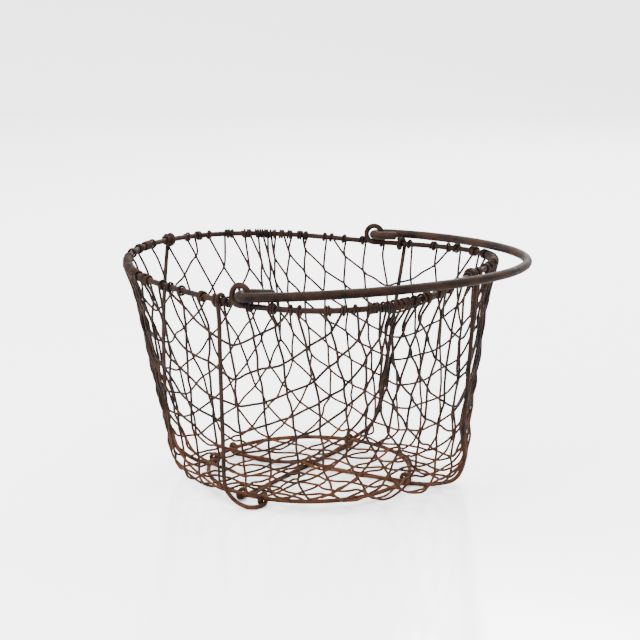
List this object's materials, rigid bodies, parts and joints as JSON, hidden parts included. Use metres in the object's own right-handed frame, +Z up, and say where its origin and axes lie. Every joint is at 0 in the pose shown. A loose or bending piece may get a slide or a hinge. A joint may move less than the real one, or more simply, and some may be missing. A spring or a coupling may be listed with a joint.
{
  "type": "wire gathering basket",
  "caption": "Round open basket of woven iron wire on a bent wire frame, carried by a swinging heavy wire bail hooked through rim eyes.",
  "frame": {"origin": "on the floor, under the crossing of the two floor bars", "axes": "+Z up, +X towards the side that the bail rests on, +Y from the front eye's side of the basket to the back"},
  "size_m": [0.3291, 0.3326, 0.1957],
  "materials": {
    "dark_iron": "dark oxidised wire, brown highlights, dry satin",
    "bail_iron": "dark pitted iron with brown rust bloom",
    "rib_iron": "dark brown wire, rustier towards the floor",
    "rusty_iron": "matte orange brown rust",
    "tie_iron": "thin dark brown rusted wire",
    "woven_iron": "thin brown wire, orange rust towards the floor"
  },
  "bodies": {
    "basket": {"rim_wire": "dark_iron", "rim_seam_binding": "tie_iron", "rim_back_binding": "tie_iron", "base_ring": "rusty_iron", "rib_front_left": "rib_iron", "rib_back_left": "rib_iron", "rib_back_right": "rib_iron", "rib_right": "rib_iron", "floor_bar_tie": "tie_iron", "woven_wall_front": "woven_iron", "woven_wall_right": "woven_iron", "woven_wall_back": "woven_iron", "woven_wall_left": "woven_iron", "woven_floor": "woven_iron"},
    "bail": {"bail": "bail_iron"}
  },
  "joints": [
    {"name": "bail_swing", "type": "hinge", "parent": "basket", "child": "bail", "pos_m": [-0.0434, -0.15889, 0.18575], "axis": [-0.3603, -0.9327, 0.0135], "range_deg": [0, 165]}
  ]
}
